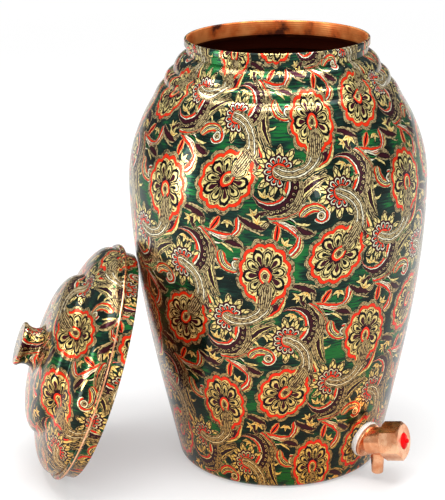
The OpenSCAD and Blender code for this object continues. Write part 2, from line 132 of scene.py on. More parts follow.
# Stripes across a stroke, from its right side to its left, or from its inner side to its outer
STRIPES = {
    "stem": (
        (0.01, BLACK), (0.03, TAN), (0.07, BLACK), (0.11, TAN), (0.19, BLACK), (0.24, PALE),
        (0.31, BLACK), (0.36, TAN), (0.45, TAN_DARK), (0.5, TAN), (0.59, BLACK), (0.65, PALE),
        (0.74, BLACK), (0.79, TAN), (0.87, BLACK), (0.92, TAN), (0.97, BLACK)),
    "crescent": (
        (0.01, TAN), (0.05, BLACK), (0.08, TAN), (0.11, BLACK), (0.13, RED), (0.27, BLACK), (0.31, PALE),
        (0.4, BLACK), (0.47, MAROON), (0.84, BLACK), (0.88, TAN), (0.93, BLACK), (0.96, TAN)),
    "swoosh": (
        (0.01, TAN), (0.05, BLACK), (0.09, TAN), (0.15, BLACK), (0.2, None), (0.24, CREAM),
        (0.31, BLACK), (0.35, "#2A0E18"), (0.58, BLACK), (0.61, CREAM), (0.68, BLACK), (0.73, TAN),
        (0.79, MAROON), (0.83, TAN), (0.89, BLACK), (0.93, TAN)),
    "comma": (
        (0.01, TAN), (0.06, BLACK), (0.1, RED), (0.22, BLACK), (0.26, CREAM), (0.37, BLACK),
        (0.45, PALE), (0.5, BLACK), (0.61, CREAM), (0.72, BLACK), (0.76, RED), (0.88, BLACK), (0.93, TAN)),
    "tail": (
        (0.01, TAN), (0.12, BLACK), (0.2, TAN), (0.3, BLACK), (0.38, RED), (0.6, BLACK), (0.68, PALE),
        (0.8, BLACK), (0.88, TAN)),
    "red_line": ((0.01, TAN), (0.16, BLACK), (0.26, RED), (0.66, BLACK), (0.76, PALE)),
    "hook": (
        (0.01, TAN), (0.08, BLACK), (0.14, RED), (0.34, BLACK), (0.4, PALE), (0.53, BLACK), (0.6, RED),
        (0.67, BLACK), (0.73, CREAM), (0.85, BLACK), (0.9, TAN)),
    "bud": (
        (0.01, TAN), (0.06, BLACK), (0.11, CREAM), (0.19, RED), (0.4, BLACK), (0.6, RED), (0.81, CREAM),
        (0.89, BLACK), (0.94, TAN)),
    "dark": (
        (0.01, TAN), (0.09, BLACK), (0.14, TAN), (0.2, BLACK), (0.3, MAROON), (0.72, BLACK), (0.82, TAN),
        (0.88, BLACK), (0.92, TAN)),
    "leaf": (
        (0.01, BLACK), (0.07, PALE), (0.22, BLACK), (0.42, GREEN_LIT), (0.58, BLACK), (0.78, PALE),
        (0.93, BLACK)),
    "hatch": (
        (0.01, BLACK), (0.1, TAN), (0.28, BLACK), (0.4, TAN), (0.58, BLACK), (0.7, TAN), (0.88, BLACK)),
    "calyx": (
        (0.01, BLACK), (0.06, TAN), (0.14, BLACK), (0.2, TAN), (0.3, BLACK), (0.36, TAN), (0.46, BLACK),
        (0.54, TAN), (0.64, BLACK), (0.7, TAN), (0.8, BLACK), (0.86, TAN), (0.94, BLACK)),
    "sprig": ((0.01, BLACK), (0.2, CREAM), (0.8, BLACK)),
    "flank": ((0.01, TAN), (0.12, BLACK), (0.2, RED), (0.52, BLACK), (0.6, CREAM), (0.94, BLACK)),
    "lines": (
        (0.01, TAN), (0.14, BLACK), (0.22, None), (0.34, BLACK), (0.42, TAN), (0.56, BLACK),
        (0.64, None), (0.76, BLACK), (0.84, TAN)),
    "bead": ((0.01, BLACK), (0.18, TAN), (0.82, BLACK)),
    "blot": ((0.01, MAROON),),
}


def across(tree, paint, off, along, profile, stripes):
    """Paints a stroke from the offset to its line, in half widths, and the place along it."""
    half = add(tree, "FloatCurve", {"Value": along}, curve=profile)
    share = add(tree, "Math DIVIDE", [off, half])
    place = add(tree, "Math MULTIPLY_ADD", [share, 0.5, 0.5])
    return rings(tree, paint, place, ((0, None), *STRIPES[stripes], (0.985, None)))


def rings(tree, paint, reach, bands, window=None):
    """Paints bands by reach, with an optional factor that keeps them to one side."""
    ramp = add(tree, "ValToRGB", [reach], bands=bands)
    mask = ramp.node.outputs["Alpha"]
    if window is not None:
        mask = add(tree, "Math MULTIPLY", [mask, window])
    return add(tree, "Mix", {"Factor": mask, 6: paint, 7: ramp}, 2, data_type="RGBA")


def local_place(tree, at, centre, turn, size):
    """The two parts of the place from a centre, turned and in units of size."""
    away = add(tree, "VectorMath SUBTRACT", [at, (*centre, 0)])
    right = (math.cos(turn) / size[0], math.sin(turn) / size[0], 0)
    ahead = (-math.sin(turn) / size[1], math.cos(turn) / size[1], 0)
    return [add(tree, "VectorMath DOT_PRODUCT", [away, way], 1) for way in (right, ahead)]


def local_polar(tree, at, centre, turn, size):
    """Angle and reach round a centre, in an oval of the given half sizes that is turned in degrees."""
    x, y = local_place(tree, at, centre, math.radians(turn), size)
    angle = add(tree, "Math ARCTAN2", [y, x])
    flat = add(tree, "CombineXYZ", [x, y])
    return angle, add(tree, "VectorMath LENGTH", [flat], 1)


def arc(tree, at, paint, stripes, half, profile, centre, radius, start, end, drift=0.0):
    """A curved stroke on a circle, from one angle to another in degrees. Drift widens the circle."""
    sweep = math.radians(end - start)
    angle, reach = local_polar(tree, at, centre, (start + end) / 2, (half, half))
    along = add(tree, "Math MULTIPLY_ADD", [angle, 1 / sweep, 0.5])
    line = add(tree, "Math MULTIPLY_ADD", [along, drift / half, radius / half])
    off = add(tree, "Math SUBTRACT", [reach, line])
    return across(tree, paint, off, along, profile, stripes)


def swoop(tree, at, paint, stripes, half, profile, *points):
    """A stroke along a few points that bends to both sides of its chord."""
    first, last = Vector(points[0]), Vector(points[-1])
    chord = last - first
    way = chord.normalized()
    side = Vector((-way.y, way.x))
    offs = [(Vector(p) - first).dot(side) for p in points]
    low, span = min(offs), max(max(offs) - min(offs), 0.01)
    foot = first + side * low
    curve = [((Vector(p) - first).dot(way) / chord.length, (o - low) / span) for p, o in zip(points, offs)]
    x, y = local_place(tree, at, foot, math.atan2(way.y, way.x), (half, half))
    along = add(tree, "Math MULTIPLY", [x, half / chord.length])
    bend = add(tree, "FloatCurve", {"Value": along}, curve=curve)
    line = add(tree, "Math MULTIPLY_ADD", [bend, -span / half, y])
    return across(tree, paint, line, along, profile, stripes)


# Far enough to the side that no petal reaches it
OUT_OF_REACH = 9.0


def petals(tree, paint, angle, reach, count, first, layers, window=None):
    """A ring of petals round a centre, the first one at an angle in degrees, each in layers of one colour:
    (inner, outer, half width, profile, hex). The window is how far they go to each side of angle 0."""
    step = 2 * math.pi / count
    turns = add(tree, "Math MULTIPLY_ADD", [angle, 1 / step, -math.radians(first) / step])
    share = add(tree, "Math WRAP", [turns, 0.5, -0.5])
    aside = add(tree, "Math MULTIPLY", [share, reach])
    if window is not None:
        outside = add(tree, "Math ABSOLUTE", [angle])
        outside = add(tree, "Math GREATER_THAN", [outside, window])
        aside = add(tree, "Math MULTIPLY_ADD", [outside, OUT_OF_REACH, aside])
    for inner, outer, half, profile, code in layers:
        along = add(tree, "Math MULTIPLY_ADD", [reach, 1 / (outer - inner), -inner / (outer - inner)])
        wide = add(tree, "FloatCurve", {"Value": along}, curve=profile)
        part = add(tree, "Math DIVIDE", [aside, wide])
        mask = add(tree, "Math COMPARE", [part, 0.0, half / step])
        paint = add(tree, "Mix", {"Factor": mask, 6: paint, 7: linear(code)}, 2, data_type="RGBA")
    return paint


def beads(tree, paint, angle, reach, radius, count, shift, bands, window=None):
    """A ring of round dots round a centre, with colour bands in the units of reach."""
    step = 2 * math.pi / count
    turns = add(tree, "Math MULTIPLY_ADD", [angle, 1 / step, shift])
    share = add(tree, "Math WRAP", [turns, 0.5, -0.5])
    aside = add(tree, "Math MULTIPLY", [share, step * radius])
    rise = add(tree, "Math SUBTRACT", [reach, radius])
    spot = add(tree, "CombineXYZ", [aside, rise])
    far = add(tree, "VectorMath LENGTH", [spot], 1)
    return rings(tree, paint, far, bands, window)


def scallop(tree, angle, reach, count, depth):
    """Reach divided by a scalloped outline with pointed notches."""
    turns = add(tree, "Math MULTIPLY", [angle, count / 2])
    wave = add(tree, "Math SINE", [turns])
    lobe = add(tree, "Math ABSOLUTE", [wave])
    edge = add(tree, "Math MULTIPLY_ADD", [lobe, depth, 1 - depth])
    return add(tree, "Math DIVIDE", [reach, edge])


def sprig(tree, at, paint, centre, size, way):
    """A small cream leaf of three points with a dark edge."""
    angle, reach = local_polar(tree, at, centre, way, (size, size))
    return petals(tree, paint, angle, reach, 7, 0, (
        (-0.2, 1.2, 0.36, SPIKE, BLACK), (-0.15, 1.0, 0.22, SPIKE, CREAM),
        (0.0, 0.6, 0.05, LEAF, GOLD)), 1.4)


def bloom(tree, at, paint):
    """The big scalloped flower at the unit's origin."""
    angle, reach = local_polar(tree, at, (-0.5, 0.5), 90, (26.4, 21.0))
    edge = scallop(tree, angle, reach, 12, 0.1)
    paint = rings(tree, paint, edge, (
        (0, MAROON), (0.3, CREAM), (0.76, BLACK), (0.772, RED), (0.87, BLACK), (0.884, TAN), (0.91, BLACK),
        (0.925, TAN), (0.952, BLACK), (0.965, TAN), (0.988, BLACK), (1.0, None)))
    # Small dots on the cream band
    for radius, count, shift, bands in (
            (0.7, 24, 0.5, ((0, BLACK), (0.02, GOLD), (0.034, None))),
            (0.6, 10, 0.33, ((0, MAROON), (0.022, GOLD), (0.045, None))),
            (0.64, 20, 0.33, ((0, BLACK), (0.016, None)))):
        paint = beads(tree, paint, angle, edge, radius, count, shift, bands)
    # Five light petals, and five dark ones between them
    paint = petals(tree, paint, angle, reach, 5, -12, (
        (0.17, 0.72, 0.168, PETAL, MAROON), (0.21, 0.69, 0.142, PETAL, CREAM),
        (0.22, 0.66, 0.126, PETAL, BLACK), (0.24, 0.6, 0.088, PETAL, CREAM),
        (0.24, 0.5, 0.05, PETAL, BLACK)))
    paint = petals(tree, paint, angle, reach, 5, 24, (
        (0.17, 0.74, 0.178, PETAL, BLACK), (0.23, 0.64, 0.112, PETAL, CREAM),
        (0.22, 0.55, 0.072, PETAL, MAROON)))
    angle, reach = local_polar(tree, at, (-0.3, -1), 90, (6.6, 4.4))
    return rings(tree, paint, reach, (
        (0, TAN_DARK), (0.34, CREAM), (0.42, BLACK), (0.5, CREAM), (0.66, RED), (0.93, BLACK),
        (1.06, None)))


def within(tree, angle, most):
    """1 where an angle is less than this to either side of 0."""
    turned_by = add(tree, "Math ABSOLUTE", [angle])
    return add(tree, "Math LESS_THAN", [turned_by, most])


def half_bloom(tree, at, paint):
    """The small dark flower that the stem ends in, with its ruffle of pointed leaves."""
    angle, reach = local_polar(tree, at, (-27.5, -33.5), 152, (10.8, 10.8))
    opening = 2.35
    inside = within(tree, angle, opening)
    paint = petals(tree, paint, angle, reach, 11, 0, (
        (0.9, 1.72, 0.2, LEAF, TAN), (0.9, 1.66, 0.16, LEAF, BLACK),
        (0.9, 1.56, 0.1, LEAF, CREAM)), opening)
    paint = petals(tree, paint, angle, reach, 22, 8.2, (
        (0.8, 1.5, 0.17, SPIKE, BLACK), (0.85, 1.4, 0.1, SPIKE, CREAM)), opening)
    paint = rings(tree, paint, reach, ((0, BLACK), (1.0, None)), inside)
    paint = petals(tree, paint, angle, reach, 12, 0, (
        (0.3, 1.1, 0.25, PETAL, MAROON), (0.4, 0.97, 0.165, PETAL, PALE), (0.42, 0.89, 0.118, PETAL, BLACK),
        (0.45, 0.78, 0.06, PETAL, RED)), 2.3)
    return rings(tree, paint, reach, (
        (0, TAN), (0.34, BLACK), (0.37, RED), (0.49, BLACK), (0.54, None)), inside)


def drop_eye(tree, at, paint):
    """The ringed eye of the curled drop."""
    angle, reach = local_polar(tree, at, (0.8, -64.2), 0, (3.7, 3.7))
    return rings(tree, paint, reach, (
        (0, BLACK), (0.22, TAN), (0.45, BLACK), (0.56, PALE), (0.84, BLACK), (1.0, None)))


def crescent_beads(tree, at, paint):
    """The row of dots on the crescent."""
    angle, reach = local_polar(tree, at, (-34.5, -43), -45, (17.8, 17.8))
    return beads(tree, paint, angle, reach, 1.0, 27, 0.0, (
        (0, MAROON), (0.035, TAN), (0.06, BLACK), (0.1, None)), within(tree, angle, 0.95))


def painted(tree, at, paint, *strokes):
    """Paints strokes one over the other, each given as its function and what it takes."""
    for draw, *details in strokes:
        paint = draw(tree, at, paint, *details)
    return paint


def bouquet(tree, at, paint):
    """The crescent, swoosh, curled drop, hook and sprigs below the small flower."""
    return painted(
        tree, at, paint,
        # Dark sprig on the left
        (swoop, "bead", 0.9, LINE, (-52, -69.5), (-45, -74), (-37.5, -76)),
        (swoop, "hatch", 1.9, LEAF, (-42, -74), (-37.5, -71), (-34, -66.5)),
        (swoop, "dark", 3.0, LEAF, (-55, -62), (-50, -68.2), (-43, -71.2), (-36, -72.2)),
        (swoop, "dark", 2.3, LEAF, (-46, -68), (-41.5, -63), (-35, -61.2)),
        (swoop, "blot", 2.2, LEAF, (-49, -70), (-45, -69.2), (-40, -71)),
        (sprig, (-42.5, -69), 7.0, 70),
        (sprig, (-44.5, -63), 5.4, 120),
        # Hook, bud and leaf
        (arc, "hook", 3.9, BULB, (-25.5, -80.5), 11.2, 78, -66),
        (swoop, "red_line", 1.8, LINE, (-34, -65.5), (-26, -70), (-20.5, -73.5), (-16.5, -79)),
        (swoop, "leaf", 3.0, LEAF, (-32, -65.5), (-24.5, -65.8), (-18.5, -68.6), (-17, -72.8)),
        (sprig, (-24.5, -84), 6.0, 55),
        (swoop, "bud", 3.2, LEAF, (-28.4, -69), (-29.4, -75.5), (-30, -81.5)),
        # Dark blossom with curls
        (arc, "hatch", 1.6, LINE, (-9.5, -71.5), 7.0, 200, 335),
        (swoop, "sprig", 1.3, LEAF, (-18, -67), (-12.5, -69.5), (-6.5, -69)),
        (swoop, "dark", 3.2, LEAF, (-16, -70), (-11.5, -74.3), (-4, -76.4)),
        # Curled drop
        (swoop, "tail", 2.6, LINE, (-36, -63), (-26, -64.3), (-18.5, -62), (-11, -57.3), (-4, -55)),
        (arc, "red_line", 1.7, LINE, (0.6, -63.6), 4.6, 110, -150),
        (arc, "comma", 4.0, ROUND, (-4.2, -67.75), 9.5, 160, 36),
        (drop_eye,),
        # Tendrils, then the swoosh and the crescent
        (arc, "sprig", 1.5, LEAF, (-4.5, -50.2), 4.8, 175, -10),
        (arc, "sprig", 1.4, LEAF, (-10.8, -54.5), 4.2, 170, -10),
        (swoop, "lines", 2.3, LINE, (-19, -50), (-12, -44.5), (-4, -38.5), (7, -35)),
        (swoop, "swoosh", 5.2, LEAF, (-39, -60), (-28, -61), (-20, -57.8), (-14, -51), (-9, -45.3),
         (-2, -40.8), (8, -38)),
        (arc, "hatch", 2.2, LEAF, (-34.5, -43), 22.4, -66, 10),
        (arc, "crescent", 6.0, TAPER, (-34.5, -43), 12.2, -160, 14, 3.9),
        (crescent_beads,),
        (sprig, (-38.5, -51), 6.4, 75),
        (sprig, (-35, -50), 5.6, 20))


def paisley_unit():
    """One spray of the print, in millimetres round its big flower, painted over what is below. It takes
    the place twice, for the bouquet and for the flowers, because each repeats round its own middle."""
    tree = bpy.data.node_groups.new("paisley_spray", "ShaderNodeTree")
    for name, kind in (("Low", "Vector"), ("High", "Vector"), ("Under", "Color")):
        tree.interface.new_socket(name, in_out="INPUT", socket_type="NodeSocket" + kind)
    tree.interface.new_socket("Paint", in_out="OUTPUT", socket_type="NodeSocketColor")
    low, at, paint = list(tree.nodes.new("NodeGroupInput").outputs)[:3]
    paint = bouquet(tree, low, paint)
    paint = painted(
        tree, at, paint, (half_bloom,), (bloom,),
        (swoop, "flank", 2.6, LEAF, (13, -14.5), (11.2, -22), (7.8, -27.4), (1.5, -31), (-6, -35)),
        (swoop, "blot", 2.2, LEAF, (1.5, -29.5), (5, -25.5), (8.5, -21.5)),
        (swoop, "flank", 1.8, LINE, (-12, -32.5), (-7.3, -28), (-5.8, -22), (-5, -15.5)),
        (arc, "stem", 4.9, STEM, (-19.2, -15.7), 20.0, -128, -19),
        (swoop, "calyx", 4.8, LEAF, (0.4, -3.2), (0.3, -11), (-0.5, -19), (-3.5, -29)))
    tree.links.new(paint, tree.nodes.new("NodeGroupOutput").inputs[0])
    return tree


# Lattice of the print: two steps of the repeat, in millimetres
STEP_A = Vector((-37.0, -105.0))
STEP_B = Vector((77.0, -52.5))
AREA = STEP_A.x * STEP_B.y - STEP_A.y * STEP_B.x
# Middles of the bouquet and of the flowers, seen from the big flower, so that the repeat cuts no stroke
MIDDLES = Vector((-21.6, -54.7)), Vector((-11.6, -13.9))
# The second spray is the first one mirrored and turned
MIRROR_TURN = math.radians(-42.4)
SECOND = Vector((50.0, 12.0))


def repeat(tree, place, shift):
    """The place in millimetres from the nearest repeat of a point."""
    moved = add(tree, "VectorMath SUBTRACT", [place, (*shift, 0)])
    parts = []
    for step, way in (
            (STEP_A, (STEP_B.y / AREA, -STEP_B.x / AREA, 0)),
            (STEP_B, (-STEP_A.y / AREA, STEP_A.x / AREA, 0))):
        count = add(tree, "VectorMath DOT_PRODUCT", [moved, way], 1)
        count = add(tree, "Math WRAP", [count, 0.5, -0.5])
        parts.append(add(tree, "VectorMath SCALE", {0: (*step, 0), "Scale": count}))
    return add(tree, "VectorMath ADD", [parts[0], parts[1]])


def heading(angle):
    """The flat direction at an angle."""
    return Vector((math.cos(angle), math.sin(angle)))


def turned(v, angle):
    """A flat vector turned by an angle."""
    return v.x * heading(angle) + v.y * heading(angle + math.pi / 2)


def print_colour(tree, uv, at):
    """Colour of the print at a place in millimetres on the sheet. Its ground and its unevenness follow the
    place in metres, so that they have no seam."""
    # Ground: dark green with a few bright clouds and level streaks, drawn at about 1.5 mm so that they show
    cloud = add(tree, "TexNoise", {"Vector": at, "Scale": 1 / (20 * MM), "Detail": 1.0})
    level = add(tree, "Mapping", {"Vector": at, "Scale": (0.12, 0.12, 1.0)})
    streak = add(tree, "TexNoise", {"Vector": level, "Scale": 1 / (1.1 * MM), "Detail": 1.0})
    tone = add(tree, "Math MULTIPLY_ADD", [streak, 0.6, cloud])
    paint = add(tree, "ValToRGB", [tone], stops=(
        (0.67, GREEN_DEEP), (0.84, GREEN_MID), (1.0, GREEN_LIT)))
    # Hand-cut wobble of all outlines
    wobble = add(tree, "TexNoise", {"Vector": at, "Scale": 1 / (4.5 * MM), "Detail": 3.0}, "Color")
    wobble = add(tree, "VectorMath SUBTRACT", [wobble, (0.5, 0.5, 0.5)])
    wobble = add(tree, "VectorMath MULTIPLY", [wobble, (2.0, 2.0, 0.0)])
    place = add(tree, "VectorMath ADD", [wobble, uv])
    # The second spray lies below the first: its place is turned back and mirrored
    spray = paisley_unit()
    for origin, turn, flip in ((SECOND, MIRROR_TURN, -1), (Vector((0, 0)), 0.0, 1)):
        nears = []
        for middle in MIDDLES:
            middle = turned(Vector((middle.x, flip * middle.y)), turn)
            near = repeat(tree, place, origin + middle)
            x, y = local_place(tree, near, -middle, turn, (1, flip))
            nears.append(add(tree, "CombineXYZ", [x, y]))
        paint = add(tree, "Group", [*nears, paint], node_tree=spray)
    # Stipple on the pale inks only, which their green part tells from the red and dark ones
    pale = add(tree, "SeparateColor", [paint], 1)
    share = add(tree, "FloatCurve", {"Value": pale}, curve=(
        (0, 0), (0.15, 0), (0.3, 0.9), (0.5, 0.85), (0.75, 0.5), (1, 0.4)))
    grain = add(tree, "TexNoise", {"Vector": at, "Scale": 1 / (1.7 * MM), "Detail": 1.0})
    grain = add(tree, "MapRange", [grain, 0.5, 0.6])
    grain = add(tree, "Math MULTIPLY", [grain, share])
    return add(tree, "Mix", {"Factor": grain, 6: paint, 7: linear(TAN_DARK)}, 2, data_type="RGBA")


# Coats
def coat(name, shade, *details):
    """A new material, with its shader made from the place on the piece in metres."""
    made = bpy.data.materials.new(name)
    made.use_nodes = True
    tree = made.node_tree
    tree.nodes.clear()
    shader = shade(tree, add(tree, "TexCoord", out="Object"), *details)
    add(tree, "OutputMaterial", [shader])
    return made


def clouds(tree, at, size, gloss, *stops):
    """Soft clouds of a size in millimetres: their colours, and a roughness that rises with them."""
    cloud = add(tree, "TexNoise", {"Vector": at, "Scale": 1 / (size * MM), "Detail": 3.0})
    rough = add(tree, "Math MULTIPLY_ADD", [cloud, 0.2, gloss])
    return add(tree, "ValToRGB", [cloud], stops=stops), rough


# Height in metres below which the print is painted darker and more amber, a painted shade towards the foot
FOOT_SHADE_BELOW = 0.17


def printed_lacquer(tree, at):
    """Heat-transferred paisley print under clear lacquer on copper sheet: deep inks that let the metal's
    shine through, under a hard wet gloss that turns pale where the sheet curves away."""
    uv = add(tree, "UVMap", uv_map="print")
    paint = print_colour(tree, uv, at)
    # Painted shade: the print is tinted darker and more amber towards the foot
    height = add(tree, "VectorMath DOT_PRODUCT", [at, (0, 0, 1)], 1)
    depth = add(tree, "MapRange", [height, FOOT_SHADE_BELOW, 0.0, 0.0, 1.0])
    paint = add(tree, "Mix", {"Factor": depth, 6: paint, 7: linear("#FFD08A")}, 2, data_type="RGBA",
                blend_type="MULTIPLY")
    ripple = add(tree, "TexNoise", {"Vector": at, "Scale": 1 / (25 * MM), "Detail": 2.0})
    dents = add(tree, "Bump", {"Height": ripple, "Strength": 0.25, "Distance": 0.002})
    return add(tree, "BsdfPrincipled", {
        "Base Color": paint, "Metallic": 0.6, "Roughness": 0.23, "IOR": 1.45, "Specular IOR Level": 0.1,
        "Coat Weight": 0.25, "Coat Roughness": 0.04, "Coat IOR": 1.4, "Coat Normal": dents})


def spun_copper(tree, at, brown, shade_below):
    """Bare spun copper inside the pot and lid: warm orange with brown clouds and faint turning rings, and
    nearly black below a height in metres, which is a painted shade deep inside the pot."""
    cloud = add(tree, "TexNoise", {"Vector": at, "Scale": 1 / (20 * MM), "Detail": 4.0})
    colour = add(tree, "ValToRGB", [cloud], stops=(
        (0.38, brown), (0.46, "#CC6428"), (0.64, "#F29A54")))
    height = add(tree, "SeparateXYZ", [at], 2)
    # Painted shade: below the height the copper fades to nearly black
    unshaded = add(tree, "MapRange", [height, shade_below - 5 * MM, shade_below])
    colour = add(tree, "Mix", {"Factor": unshaded, 6: linear("#5A200C"), 7: colour}, 2, data_type="RGBA")
    ring = add(tree, "Math MULTIPLY", [height, 2 * math.pi / (1.6 * MM)])
    ring = add(tree, "Math SINE", [ring])
    dents = add(tree, "Bump", {"Height": ring, "Strength": 0.12, "Distance": 0.0002})
    rough = add(tree, "Math MULTIPLY_ADD", [cloud, -0.3, 0.55])
    return add(tree, "BsdfPrincipled", {
        "Base Color": colour, "Metallic": 0.6, "Roughness": rough, "Normal": dents})


def polished_copper(tree, at):
    """Machined and satin polished rose copper of the tap: bright peach with fine brown pits and soft
    reflections."""
    colour, rough = clouds(tree, at, 9, 0.17, (0.35, "#DA8E62"), (0.65, "#FAC49A"))
    pits = add(tree, "TexVoronoi", {"Vector": at, "Scale": 1 / (2.6 * MM)})
    spot = add(tree, "Math LESS_THAN", [pits, 0.1])
    spot = add(tree, "Math MULTIPLY", [spot, 0.7])
    colour = add(tree, "Mix", {"Factor": spot, 6: colour, 7: linear("#5A2A1A")}, 2, data_type="RGBA")
    grain = add(tree, "TexNoise", {"Vector": at, "Scale": 1 / (1.2 * MM), "Detail": 2.0})
    dents = add(tree, "Bump", {"Height": grain, "Strength": 0.02, "Distance": 0.0002})
    return add(tree, "BsdfPrincipled", {
        "Base Color": colour, "Metallic": 1.0, "Roughness": rough, "Normal": dents})


def turned_brass(tree, at):
    """Turned brass of nuts, plunger and screw: dull yellow with fine tool lines."""
    colour, rough = clouds(tree, at, 6, 0.22, (0.3, "#8C6A33"), (0.7, "#C9A55A"))
    lines = add(tree, "TexWave", {"Vector": at, "Scale": 1 / (4 * MM), "Distortion": 1.5}, "Fac")
    dents = add(tree, "Bump", {"Height": lines, "Strength": 0.1, "Distance": 0.0001})
    return add(tree, "BsdfPrincipled", {
        "Base Color": colour, "Metallic": 1.0, "Roughness": rough, "Normal": dents})


def drawn_steel(tree, at):
    """Drawn spring and rim wire: grey with a satin drawn surface."""
    colour, rough = clouds(tree, at, 3, 0.25, (0.3, "#8E9196"), (0.7, "#C9CCD0"))
    return add(tree, "BsdfPrincipled", {"Base Color": colour, "Metallic": 1.0, "Roughness": rough})


def moulded(tree, at, dark, light, gloss, ior, shine):
    """Moulded washer rubber or button plastic: an even colour with faint flow marks, and a fine grain from
    the mould."""
    colour, rough = clouds(tree, at, 5, gloss, (0.3, dark), (0.7, light))
    grain = add(tree, "TexNoise", {"Vector": at, "Scale": 1 / (0.6 * MM), "Detail": 1.0})
    dents = add(tree, "Bump", {"Height": grain, "Strength": 0.08, "Distance": 0.0002})
    return add(tree, "BsdfPrincipled", {
        "Base Color": colour, "Roughness": rough, "IOR": ior, "Specular IOR Level": shine, "Normal": dents})


# Heights in metres below which the copper is painted nearly black as shade: nowhere in the lid, and up to
# the neck in the pot
LID_SHADE_BELOW, POT_SHADE_BELOW = -1.0, 0.306
lacquer = coat("printed_lacquer_on_copper", printed_lacquer)
bare = coat("bare_spun_copper", spun_copper, "#A04E20", LID_SHADE_BELOW)
# The pot's inside has darker brown clouds than the lid's, a painted shade
painted_shade_copper = coat("spun_copper_painted_shade", spun_copper, "#4A1C0A", POT_SHADE_BELOW)
copper = coat("polished_rose_copper", polished_copper)
brass = coat("turned_brass", turned_brass)
steel = coat("drawn_steel_wire", drawn_steel)
white_rubber = coat("moulded_white_silicone", moulded, "#E9E4DD", "#F7F6F2", 0.45, 1.41, 0.5)
black_rubber = coat("moulded_black_nitrile", moulded, "#141414", "#242424", 0.45, 1.5, 0.5)
red_plastic = coat("moulded_red_abs", moulded, "#EC0208", "#FF0C0C", 0.35, 1.45, 0.12)


# Outlines, as [radius, height] in millimetres
def cubic(points, steps):
    """Points on a cubic curve, without its first."""
    a, b, c, d = [Vector(p) for p in points]
    made = []
    for i in range(1, steps + 1):
        u = i / steps
        made.append(a * (1 - u) ** 3 + b * 3 * u * (1 - u) ** 2 + c * 3 * u * u * (1 - u) + d * u ** 3)
    return made


def bow(a, b, rise, steps):
    """Points on a shallow bow from one point to another, without the first."""
    a, b = Vector(a), Vector(b)
    d = b - a
    out = Vector((d.y, -d.x)).normalized()
    shares = [i / steps for i in range(1, steps + 1)]
    return [a + d * u + out * 4 * rise * u * (1 - u) for u in shares]


def arc_points(centre, radius, start, end, steps):
    """Points on a circle from one angle to another in degrees."""
    angles = [math.radians(start + (end - start) * i / steps) for i in range(steps + 1)]
    return [Vector(centre) + radius * heading(angle) for angle in angles]


def inset(path, by):
    """The path moved to its left by the sheet's thickness."""
    made = []
    for i, p in enumerate(path):
        d = path[min(i + 1, len(path) - 1)] - path[max(i - 1, 0)]
        made.append(p + by * Vector((-d.y, d.x)).normalized())
    return made


def points(*pairs):
    """Pairs of numbers as vectors."""
    return [Vector(p) for p in pairs]


def lengths(path):
    """The way along a path at each of its points."""
    made = [0.0]
    for a, b in zip(path, path[1:]):
        made.append(made[-1] + (b - a).length)
    return made


# Steps round the shells and round the small turned pieces
SHELL_TURNS, TURNS = 224, 72


# Modelling helpers
def pick(piece):
    """Makes a piece the only one selected, and active."""
    bpy.ops.object.select_all(action="DESELECT")
    piece.select_set(True)
    bpy.context.view_layer.objects.active = piece


def smooth(degrees):
    """Shades the active piece smooth, but for edges sharper than this."""
    bpy.ops.object.shade_smooth_by_angle(angle=math.radians(degrees))


def lathe(name, outline, steps=TURNS):
    """Spins an outline round Z: one vertex is extruded along it, and the line is spun."""
    bpy.ops.object.select_all(action="DESELECT")
    bpy.ops.mesh.primitive_plane_add(size=MM)
    piece = bpy.context.object
    piece.name = name
    piece.data.name = name
    bpy.ops.object.mode_set(mode="EDIT")
    bpy.ops.mesh.select_all(action="SELECT")
    bpy.ops.mesh.merge(type="CENTER")
    bpy.ops.transform.translate(value=(outline[0].x * MM, 0, outline[0].y * MM))
    for a, b in zip(outline, outline[1:]):
        bpy.ops.mesh.extrude_vertices_move(
            TRANSFORM_OT_translate={"value": ((b.x - a.x) * MM, 0, (b.y - a.y) * MM)})
    bpy.ops.mesh.select_all(action="SELECT")
    bpy.ops.mesh.spin(steps=steps, angle=2 * math.pi, center=(0, 0, 0), axis=(0, 0, 1))
    bpy.ops.mesh.select_all(action="SELECT")
    bpy.ops.mesh.remove_doubles(threshold=0.00001)
    bpy.ops.mesh.normals_make_consistent(inside=False)
    bpy.ops.object.mode_set(mode="OBJECT")
    smooth(35)
    return piece


def settle():
    """Leaves the active piece where it is, with its object at the origin."""
    bpy.ops.object.transform_apply(location=True, rotation=True, scale=True)


def stand(piece, place):
    """Puts a piece in its place and leaves its object at the origin."""
    pick(piece)
    piece.matrix_world = place
    settle()


def machine(piece, operation, outline, place=Matrix(), steps=TURNS):
    """Joins, cuts or trims a closed piece with a spun solid in its place."""
    tool = lathe("tool", outline, steps)
    stand(tool, place)
    pick(piece)
    cut = piece.modifiers.new("cut", "BOOLEAN")
    cut.operation = operation
    cut.solver = "EXACT"
    cut.object = tool
    bpy.ops.object.modifier_apply(modifier="cut")
    bpy.data.objects.remove(tool)


def facing(point, turn, rise):
    """A place at a point, whose axis is turned from X and raised from level."""
    return (Matrix.Translation(point) @ Matrix.Rotation(turn, 4, "Z")
            @ Matrix.Rotation(math.pi / 2 - rise, 4, "Y"))


# Share of the bake's map that the printed side takes, and the margin of its strips
PRINTED_SHARE, MARGIN = 0.73, 0.012
BARE_SHARE = 1 - PRINTED_SHARE - 2 * MARGIN
# Nearer to the axis than this, a point has no turn of its own
ON_AXIS = 0.01 * MM


